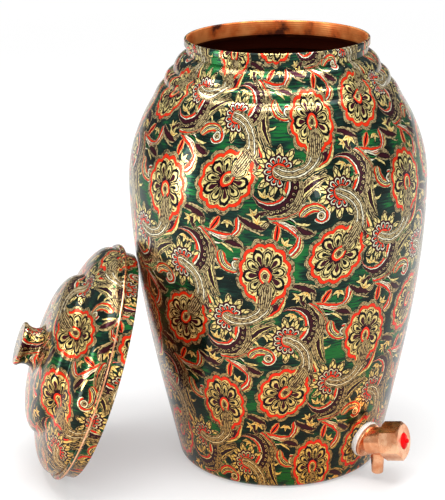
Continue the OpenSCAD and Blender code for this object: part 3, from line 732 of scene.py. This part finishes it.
def finish_lathe(piece, outline, printed, place_print, strips, inner=bare):
    """Coats the printed part of an outline with lacquer and the rest with bare copper. The print gets its
    own UV map, and the bake one with the printed side in wide strips and the bare side in a narrow one."""
    first, last = printed
    index = KDTree(len(outline))
    for i, p in enumerate(outline):
        index.insert((p.x, p.y, 0), i)
    index.balance()
    along = lengths(list(outline) + [outline[0]])
    mesh = piece.data
    mesh.materials.append(lacquer)
    mesh.materials.append(inner)
    sheet_map = mesh.uv_layers.new(name="print").name
    bake_map = mesh.uv_layers.new(name="OFBake").name
    keys = [index.find((math.hypot(v.co.x, v.co.y) / MM, v.co.z / MM, 0))[1] for v in mesh.vertices]
    for face in mesh.polygons:
        spots = [keys[v] for v in face.vertices]
        closing = max(spots) - min(spots) > len(outline) / 2
        is_printed = min(spots) >= first and max(spots) <= last and not closing
        face.material_index = 0 if is_printed else 1
        middle = math.atan2(face.center.x, -face.center.y)
        strip = int((middle / (2 * math.pi) + 0.5) * strips)
        for loop, v, spot in zip(face.loop_indices, face.vertices, spots):
            co = mesh.vertices[v].co
            angle = math.atan2(co.x, -co.y)
            if math.hypot(co.x, co.y) < ON_AXIS:
                angle = middle
            angle -= 2 * math.pi * round((angle - middle) / (2 * math.pi))
            mesh.uv_layers[sheet_map].data[loop].uv = place_print(angle, spot)
            turn = angle / (2 * math.pi) + 0.5
            if is_printed:
                rise = (along[spot] - along[first]) / (along[last] - along[first])
                flat = (turn * strips - strip) * (1 - 2 * MARGIN) + MARGIN
                lift = (strip + MARGIN + rise * (1 - 2 * MARGIN)) / strips
                place = flat * PRINTED_SHARE, lift
            else:
                way = along[-1] if closing and spot == 0 else along[spot]
                rise = way / along[-1]
                place = PRINTED_SHARE + MARGIN + rise * BARE_SHARE, turn * (1 - MARGIN)
            mesh.uv_layers[bake_map].data[loop].uv = place


# Pot: two spun shells that meet at the widest circle, in millimetres and degrees
SHEET = 1.0
BELLY_R, SEAM_Z = 107.5, 213
FLAT_R, CORNER_R = 69.5, 6
WALL_LEAN, WALL_HANDLE, BELLY_HANDLE_Z = 12.3, 70, 140
SHOULDER_FALL, SHOULDER_HANDLE, SHOULDER_HANDLE_Z = 52, 28, 238
RING_2_BOW, RING_1_BOW = 2.1, 2.2
NECK_R, NECK_TOP = 64.3, 309.6
corner = arc_points((FLAT_R, CORNER_R), CORNER_R, -90, -WALL_LEAN, 8)
foot = corner[-1]
wall_handle = foot + WALL_HANDLE * heading(math.radians(90 - WALL_LEAN))
lower_path = points((0, 0), (40, 0)) + corner
lower_path += cubic((foot, wall_handle, (BELLY_R, BELLY_HANDLE_Z), (BELLY_R, SEAM_Z)), 40)
ring_2, ring_1, neck = points((80.3, 284.5), (73.8, 293.0), (NECK_R, 305.0))
below_ring = ring_2 + SHOULDER_HANDLE * heading(math.radians(-SHOULDER_FALL))
upper_path = points((BELLY_R, SEAM_Z))
upper_path += cubic((upper_path[0], (BELLY_R, SHOULDER_HANDLE_Z), below_ring, ring_2), 30)[:24]
# The shoulder's last stretch lies flatter, where it runs into the ring's groove
GROOVE_FALL, GROOVE_HANDLE = 30, 6
up_shoulder = (upper_path[-1] - upper_path[-2]).normalized()
groove = ring_2 + GROOVE_HANDLE * heading(math.radians(-GROOVE_FALL))
upper_path += cubic((upper_path[-1], upper_path[-1] + GROOVE_HANDLE * up_shoulder, groove, ring_2), 12)
upper_path += bow(ring_2, ring_1, RING_2_BOW, 10) + bow(ring_1, neck, RING_1_BOW, 12)
upper_path += points((NECK_R, 307.5), (NECK_R, NECK_TOP))
hem_path = points((65.3, NECK_TOP), (65.7, 310.1)) + arc_points((64.5, 313.8), 1.2, 0, 180, 8)
# Points of the lower outline on the flat base, which is bare
BASE_BARE = 2
# Hem points from the top of its fold inwards, which are bare
HEM_BARE = 3

# Print on the pot: width from the turn, height from the way along the outline
PRINT_ORIGIN = Vector((-8.5, 171.0))
# The print is a little wider at the foot, and from this turn it draws together, so that whole repeats close
# behind the pot
FOOT_WIDER = 0.06
CLOSE_FROM = math.radians(70)
HALF_ROUND = 4 * (2 * STEP_B.x - STEP_A.x) / 2
lower_lengths = lengths(lower_path)
CORNER_END = lower_lengths[len(corner) + 1]
BELLY_LENGTH = lower_lengths[-1] - CORNER_END


def pot_print(angle, way):
    """Place on the print at a turn and at a way up from the foot's corner."""
    scale = BELLY_R / (1.0 + FOOT_WIDER * max(0.0, 1 - way / BELLY_LENGTH))
    past = max(0.0, abs(angle) - CLOSE_FROM) / (math.pi - CLOSE_FROM)
    across_it = abs(angle) * scale + (HALF_ROUND - math.pi * scale) * past ** 2
    return math.copysign(across_it, angle) - PRINT_ORIGIN.x, way - PRINT_ORIGIN.y


lower_inside = inset(lower_path, SHEET)
lower_inside[0] = Vector((0, SHEET))
lower_inside[-1] = Vector((BELLY_R - SHEET, SEAM_Z))
outline = lower_path + lower_inside[::-1]
ways = [way - CORNER_END for way in lower_lengths + lower_lengths[::-1]]
lower = lathe("pot_lower_shell", outline, SHELL_TURNS)
finish_lathe(lower, outline, (BASE_BARE, len(lower_path) - 1),
             lambda angle, i: pot_print(angle, ways[i]), 2, painted_shade_copper)
upper_inside = inset(upper_path, SHEET)
upper_inside[0] = Vector((BELLY_R - SHEET, SEAM_Z))
outline = upper_path + hem_path + upper_inside[::-1]
upper_lengths = lengths(upper_path + hem_path)
upper_ways = [way + BELLY_LENGTH for way in upper_lengths + upper_lengths[:len(upper_path)][::-1]]
upper = lathe("pot_upper_shell", outline + outline[:1], SHELL_TURNS)
finish_lathe(upper, outline, (0, len(upper_path + hem_path) - 1 - HEM_BARE),
             lambda angle, i: pot_print(angle, upper_ways[i]), 3, painted_shade_copper)
for piece, node in ((lower, "lower_shell"), (upper, "upper_shell")):
    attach(piece, "pot")
    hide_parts(node)

# Lid: leaning on the pot, knob outwards
LID_CENTRE = Vector((-140.255, -34.969, 83.289)) * MM
LEAN_RISE, LEAN_TURN = math.radians(20), math.radians(10.5)
LID_PLACE = facing(LID_CENTRE, math.pi + LEAN_TURN, LEAN_RISE)
# The print on the lid runs outwards from the middle, and this puts a flower where the photograph has one
LID_PRINT = Vector((40.0, 0.0))
COLLAR_R, SKIRT_R, SKIRT_Z = 84.3, 85.3, 4.2
CURL_R, CURL = 86.4, 2.1
CURL_END = 360 + math.degrees(math.acos((SKIRT_R - CURL_R) / CURL))
DOME_TOP = 36.7
skirt_end = Vector((SKIRT_R, SKIRT_Z))
step_foot = Vector((60.7, 20.8))
dome_foot = Vector((59.2, 22.5))
curl_path = arc_points((CURL_R, 0), CURL, 180, CURL_END, 20)
dome_path = [skirt_end] + cubic((
    skirt_end, skirt_end + Vector((-0.5, 8.5)), step_foot + Vector((11.5, -2.8)), step_foot), 18)
dome_path += [(step_foot + dome_foot) / 2, dome_foot]
dome_path += cubic((dome_foot, dome_foot + Vector((-2, 8.6)), (41, DOME_TOP), (17, DOME_TOP)), 18)
dome_path += points((8, DOME_TOP), (0, DOME_TOP))
lid_path = curl_path + dome_path
lid_inside = inset(dome_path, SHEET)
lid_inside[0] = Vector((COLLAR_R, SKIRT_Z))
lid_inside[-1] = Vector((0, DOME_TOP - SHEET))


def lid_print(angle, way):
    """Place on the print at a turn and at a way from the lid's middle."""
    return way * math.sin(angle) - LID_PRINT.x, -way * math.cos(angle) - LID_PRINT.y


outline = lid_path + lid_inside[::-1]
lid_lengths = lengths(lid_path)
lid_ways = [lid_lengths[-1] - way for way in lid_lengths]
lid_ways += lid_ways[len(curl_path):][::-1]
RIM_WAY = lid_ways[0]
lid = lathe("lid_shell_spun", outline + outline[:1], SHELL_TURNS)
finish_lathe(lid, outline, (0, len(lid_path) - 1), lambda angle, i: lid_print(angle, lid_ways[i]), 3)
# A strip of pale polished copper on the outside of the curl, between these angles round it, is a painted
# highlight along the bead
CURL_HIGHLIGHT = math.radians(-10), math.radians(22)
lid.data.materials.append(copper)
for face in lid.data.polygons:
    out_from_curl = math.hypot(face.center.x, face.center.y) - CURL_R * MM
    turn = math.atan2(face.center.z, out_from_curl)
    if CURL_HIGHLIGHT[0] < turn < CURL_HIGHLIGHT[1] and out_from_curl > 0:
        face.material_index = 2
COLLAR_TOP, COLLAR_FOOT, COLLAR_IN_R = 3.4, -10.9, 83.3
collar_path = points(
    (COLLAR_IN_R, COLLAR_TOP), (COLLAR_IN_R, COLLAR_FOOT), (83.7, -11.3), (83.9, -11.3),
    (COLLAR_R, COLLAR_FOOT), (COLLAR_R, -7), (COLLAR_R, -3.5), (COLLAR_R, 0), (COLLAR_R, COLLAR_TOP))
collar = lathe("lid_collar_band", collar_path + collar_path[:1], SHELL_TURNS)
finish_lathe(collar, collar_path, (0, len(collar_path) - 1),
             lambda angle, i: lid_print(angle, RIM_WAY - collar_path[i].y), 4)
KNOB_FOOT_R, KNOB_R, KNOB_TOP = 19, 16, 51.7
knob_path = points((0, DOME_TOP), (KNOB_FOOT_R, DOME_TOP))
knob_path += cubic((knob_path[-1], (13.5, 37.9), (12, 44.8), (KNOB_R, 49.3)), 16)
knob_path += points(
    (KNOB_R, 50.6), (15.8, 51.2), (15.4, 51.6), (14.8, KNOB_TOP), (7, KNOB_TOP), (0, KNOB_TOP))
knob_lengths = lengths(knob_path)
knob = lathe("lid_knob_turned", knob_path, 128)
finish_lathe(knob, knob_path, (0, len(knob_path) - 1),
             lambda angle, i: lid_print(angle, knob_lengths[-1] - knob_lengths[i]), 1)
for piece, node in ((lid, "lid_shell"), (collar, "lid_collar"), (knob, "lid_knob")):
    stand(piece, LID_PLACE)
    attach(piece, "lid")
    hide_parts(node)

# Tap: its seat on the wall, its barrel and its spout
WALL_R, TAP_Z = 80.91, 29.8
TAP_AZ, SEAT_LEAN = math.radians(49.5), math.radians(12.55)
BARREL_AZ, BARREL_RISE = math.radians(65), math.radians(10.7)
FLANGE_FACE, SPOUT_WAY = 5, 6.9
wall_point = Vector((WALL_R * math.sin(TAP_AZ), -WALL_R * math.cos(TAP_AZ), TAP_Z)) * MM
SEAT_PLACE = facing(wall_point, TAP_AZ - math.pi / 2, -SEAT_LEAN)
flange_point = SEAT_PLACE @ Vector((0, 0, FLANGE_FACE * MM))
BARREL_PLACE = facing(flange_point, BARREL_AZ - math.pi / 2, BARREL_RISE)
spout_point = BARREL_PLACE @ Vector((0, 0, SPOUT_WAY * MM))
SPOUT_PLACE = Matrix.Translation(spout_point) @ Matrix.Rotation(math.pi, 4, "X")

# Hole in the wall for the shank, and the washer moulded to the wall
HOLE_R, HOLE_REACH, WASHER_IN_R = 10.55, 9, 10.6
machine(lower, "DIFFERENCE", points(
    (0, -HOLE_REACH), (HOLE_R, -HOLE_REACH), (HOLE_R, HOLE_REACH), (0, HOLE_REACH)), SEAT_PLACE)
smooth(35)
washer_path = points(
    (WASHER_IN_R, -2), (12.3, -2), (12.9, 0), (13.3, 1.1), (13.4, 1.8), (13.2, 2.5), (12.8, 2.9), (12.4, 3),
    (WASHER_IN_R, 3))
washer = lathe("tap_wall_washer", washer_path + washer_path[:1], 96)
stand(washer, SEAT_PLACE)
machine(washer, "DIFFERENCE", lower_path + points((0, SEAM_Z)), steps=SHELL_TURNS)
smooth(35)

# Flange, shank and barrel are one turned and brazed body
SHANK_R, SHANK_BORE_R, SHANK_END = 10.45, 7.5, -12
FLANGE_R, BARREL_R, BARREL_END = 12.8, 10, 12.3
THREAD_R, THREAD_END = 8.25, 16.3
body = lathe("tap_flange_and_barrel", points(
    (0, 1.5), (SHANK_BORE_R, 1.5), (SHANK_BORE_R, SHANK_END), (10, SHANK_END), (SHANK_R, -11.5),
    (SHANK_R, 3), (12.4, 3), (FLANGE_R, 3.4), (FLANGE_R, 4.5), (12.3, FLANGE_FACE), (0, FLANGE_FACE)))
stand(body, SEAT_PLACE)
machine(body, "UNION", points(
    (0, -2), (8, -2), (BARREL_R, 0), (BARREL_R, 11.9), (9.6, BARREL_END), (THREAD_R, BARREL_END),
    (THREAD_R, THREAD_END), (0, THREAD_END)), BARREL_PLACE)
# The water's way through it: the spout's socket, and then the valve chamber, the hole in the valve seat and
# the barrel's bore. In this order, the cuts leave a closed mesh at every run
SPOUT_R, SPOUT_BORE_R, SPOUT_TOP, SOCKET_R = 4.9, 3.2, 6.3, 4.95
machine(body, "DIFFERENCE", points(
    (0, 0), (SPOUT_BORE_R, 0), (SPOUT_BORE_R, SPOUT_TOP), (SOCKET_R, SPOUT_TOP), (SOCKET_R, 20),
    (0, 20)), SPOUT_PLACE)
CHAMBER_END, SEAT_BACK, SEAT_FACE, BORE_END = -7.8, 0.5, 2, 17.3
BORE_R, SEAT_HOLE_R = 5.5, 3.5
machine(body, "DIFFERENCE", points(
    (0, CHAMBER_END), (BORE_R, CHAMBER_END), (BORE_R, SEAT_BACK), (SEAT_HOLE_R, SEAT_BACK),
    (SEAT_HOLE_R, SEAT_FACE), (BORE_R, SEAT_FACE), (BORE_R, BORE_END), (0, BORE_END)), BARREL_PLACE)
smooth(35)
spout = lathe("tap_spout_tube", points(
    (SPOUT_BORE_R, SPOUT_TOP), (SPOUT_R, SPOUT_TOP), (SPOUT_R, 10.8), (4.3, 23.7), (4.1, 24.2),
    (3.7, 24.49), (3.4, 24.4), (SPOUT_BORE_R, 24.1), (SPOUT_BORE_R, SPOUT_TOP)))
stand(spout, SPOUT_PLACE)

# Bonnet: hexagon bar with turned ends and the button's well
BONNET_AF, BONNET_FOOT, BONNET_LONG = 25, 12.3, 14.9
BONNET_END = BONNET_FOOT + BONNET_LONG
# The turn at which the bonnet is tight, with one flat towards the camera
BONNET_TURN = math.radians(-44)
bpy.ops.object.select_all(action="DESELECT")
bpy.ops.mesh.primitive_cylinder_add(
    vertices=6, radius=BONNET_AF / math.sqrt(3) * MM, depth=BONNET_LONG * MM,
    location=(0, 0, (BONNET_FOOT + BONNET_LONG / 2) * MM), rotation=(0, 0, BONNET_TURN))
bonnet = bpy.context.object
bonnet.name = "tap_bonnet_hexagon"
settle()
round_off = bonnet.modifiers.new("round", "BEVEL")
round_off.width = 0.5 * MM
round_off.segments = 2
bpy.ops.object.modifier_apply(modifier="round")
END_R, EDGE_R = 12.0, 14.7
machine(bonnet, "INTERSECT", points(
    (0, BONNET_FOOT), (END_R, BONNET_FOOT), (EDGE_R, 13.8), (EDGE_R, 25.7), (END_R, BONNET_END),
    (0, BONNET_END)))
WELL_R, WELL_FLOOR, WELL_TOP = 6, 21.7, 27.6
machine(bonnet, "DIFFERENCE", points(
    (0, WELL_FLOOR), (WELL_R, WELL_FLOOR), (WELL_R, 27), (6.3, WELL_TOP), (0, WELL_TOP)))
NUT_R, NUT_END, ROD_HOLE_R = 8.35, 17.3, 2.55
machine(bonnet, "DIFFERENCE", points(
    (0, 12), (NUT_R, 12), (NUT_R, NUT_END), (ROD_HOLE_R, NUT_END), (ROD_HOLE_R, 22), (0, 22)))
smooth(28)
stand(bonnet, BARREL_PLACE)
BUTTON_FOOT, BUTTON_R, NIB_R = 25, 5.7, 1.6
button = lathe("tap_push_button", points(
    (0, BUTTON_FOOT), (5.4, BUTTON_FOOT), (BUTTON_R, 25.3), (BUTTON_R, 26.9), (5.55, 27.5), (5, 28.1),
    (3.9, 28.6), (1.9, 28.9), (NIB_R, 29), (NIB_R, 30.1), (1.4, 30.5), (1.0, 30.75), (0, 30.8)))
stand(button, BARREL_PLACE)

# Return spring: a ring as thick as the wire, wound up into a coil
SPRING_R, SPRING_WIRE, SPRING_TURNS, SPRING_LONG = 4, 0.8, 4, 7.2
bpy.ops.object.select_all(action="DESELECT")
bpy.ops.mesh.primitive_circle_add(
    vertices=12, radius=SPRING_WIRE / 2 * MM, rotation=(math.pi / 2, 0, 0),
    location=(SPRING_R * MM, 0, (SEAT_FACE + SPRING_WIRE / 2) * MM))
spring = bpy.context.object
spring.name = "tap_return_spring"
settle()
wind = spring.modifiers.new("wind", "SCREW")
wind.screw_offset = (SPRING_LONG - SPRING_WIRE) / SPRING_TURNS * MM
wind.iterations = SPRING_TURNS
wind.steps = wind.render_steps = 24
bpy.ops.object.modifier_apply(modifier="wind")
bpy.ops.object.mode_set(mode="EDIT")
bpy.ops.mesh.select_all(action="SELECT")
bpy.ops.mesh.remove_doubles(threshold=0.00001)
bpy.ops.mesh.fill_holes(sides=0)
bpy.ops.mesh.normals_make_consistent(inside=False)
bpy.ops.object.mode_set(mode="OBJECT")
smooth(40)
stand(spring, BARREL_PLACE)
for piece, node, body_name, slot, paint in (
        (washer, "wall_washer", "pot", "white_rubber", white_rubber),
        (body, "tap_body", "pot", "copper", copper),
        (spout, "tap_spout", "pot", "copper", copper),
        (bonnet, "bonnet_nut", "pot", "copper", copper),
        (button, "push_button", "button", "red_plastic", red_plastic),
        (spring, "return_spring", "pot", "steel", steel)):
    piece.data.materials.clear()
    piece.data.materials.append(paint)
    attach(piece, body_name)
    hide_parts(node)
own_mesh(spring)

# CAD nodes that keep their shape
for paint, nodes in (
        (black_rubber, ("inner_gasket", "bonnet_seal", "stem_o_ring", "valve_disc")),
        (brass, ("lock_nut", "plunger", "valve_backing", "valve_nut", "knob_screw", "knob_washer")),
        (steel, ("lid_rim_wire",))):
    for node in nodes:
        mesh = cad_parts[node].data
        mesh.materials.clear()
        mesh.materials.append(paint)

# Camera at the photograph's place
PITCH, YAW, ROLL = math.radians(17.916), math.radians(2.060), math.radians(-0.916)
CAMERA_Y, CAMERA_Z = -1.13568, 0.52399
FOCAL_MM, FILM_MM = 116.92, 36
lens = bpy.data.cameras.new("camera")
lens.lens = FOCAL_MM
lens.sensor_width = FILM_MM
camera = bpy.data.objects.new("camera", lens)
scene.collection.objects.link(camera)
camera.matrix_world = (Matrix.Translation((0, CAMERA_Y, CAMERA_Z)) @ Matrix.Rotation(YAW, 4, "Z")
                       @ Matrix.Rotation(math.pi / 2 - PITCH, 4, "X") @ Matrix.Rotation(ROLL, 4, "Z"))
scene.camera = camera

# Studio: matt white floor that keeps the shadow, a surround that is darker behind, and soft lamps
FLOOR_WIDE = 40
# The floor's glow grows from its first strength to its second between these distances
GLOW_NEAR, GLOW_FAR = 0.42, 0.72
GLOW_FROM, GLOW_TO = 0.4, 2.5


def matt_paper(tree, at):
    """Matt white studio paper: it keeps the shadow, and glows in view and in reflections, so that it burns
    out to white."""
    path = add(tree, "LightPath").node
    seen = add(tree, "Math MAXIMUM", [path.outputs["Is Camera Ray"], path.outputs["Is Glossy Ray"]])
    seen = add(tree, "Math MAXIMUM", [seen, path.outputs["Is Transmission Ray"]])
    away = add(tree, "VectorMath LENGTH", [at], 1)
    glow = add(tree, "MapRange", [away, GLOW_FROM, GLOW_TO, GLOW_NEAR, GLOW_FAR])
    glow = add(tree, "Math MULTIPLY", [seen, glow])
    paper = add(tree, "BsdfDiffuse", {"Color": linear("#B4B4B4")})
    light = add(tree, "Emission", {"Color": linear("#FFFFFF"), "Strength": glow})
    return add(tree, "AddShader", [paper, light])


bpy.ops.object.select_all(action="DESELECT")
bpy.ops.mesh.primitive_plane_add(size=FLOOR_WIDE)
floor = bpy.context.object
floor.name = "floor"
floor.data.materials.append(coat("matt_paper_floor", matt_paper))
# The surround is lightest in this direction, up and towards the camera
LIGHT_WAY = (0, -0.6, 0.8)
DARK, LIGHT = 0.1, 0.7
world = bpy.data.worlds.new("surround")
scene.world = world
world.use_nodes = True
tree = world.node_tree
tree.nodes.clear()
way = add(tree, "TexCoord", out="Generated")
front = add(tree, "VectorMath DOT_PRODUCT", [way, LIGHT_WAY], 1)
strength = add(tree, "MapRange", [front, -0.5, 0.8, DARK, LIGHT])
sky = add(tree, "Background", {"Color": linear("#FFFFFF"), "Strength": strength})
add(tree, "OutputWorld", [sky])


POT_MIDDLE = Vector((0, 0, 0.15))


def lamp(name, place, size, power):
    """A soft rectangular lamp aimed at the pot's middle."""
    data = bpy.data.lights.new(name, "AREA")
    data.shape = "RECTANGLE"
    data.size, data.size_y = size
    data.energy = power
    made = bpy.data.objects.new(name, data)
    scene.collection.objects.link(made)
    made.location = place
    made.rotation_euler = (POT_MIDDLE - Vector(place)).to_track_quat("-Z", "Y").to_euler()


lamp("overhead_softbox", (0.1, -0.6, 1.7), (1.3, 0.5), 20)
lamp("top_softbox", (0, 0.15, 1.4), (1.6, 0.5), 16)
lamp("front_softbox", (-0.75, -1.6, 1.0), (0.6, 0.6), 5)
lamp("right_front_softbox", (0.75, -1.4, 0.42), (0.14, 0.45), 2)
lamp("left_softbox", (-1.5, -0.45, 0.45), (0.35, 0.8), 10)
lamp("right_softbox", (1.3, -0.6, 0.6), (0.3, 1.0), 1.5)

scene.view_settings.view_transform = "Standard"
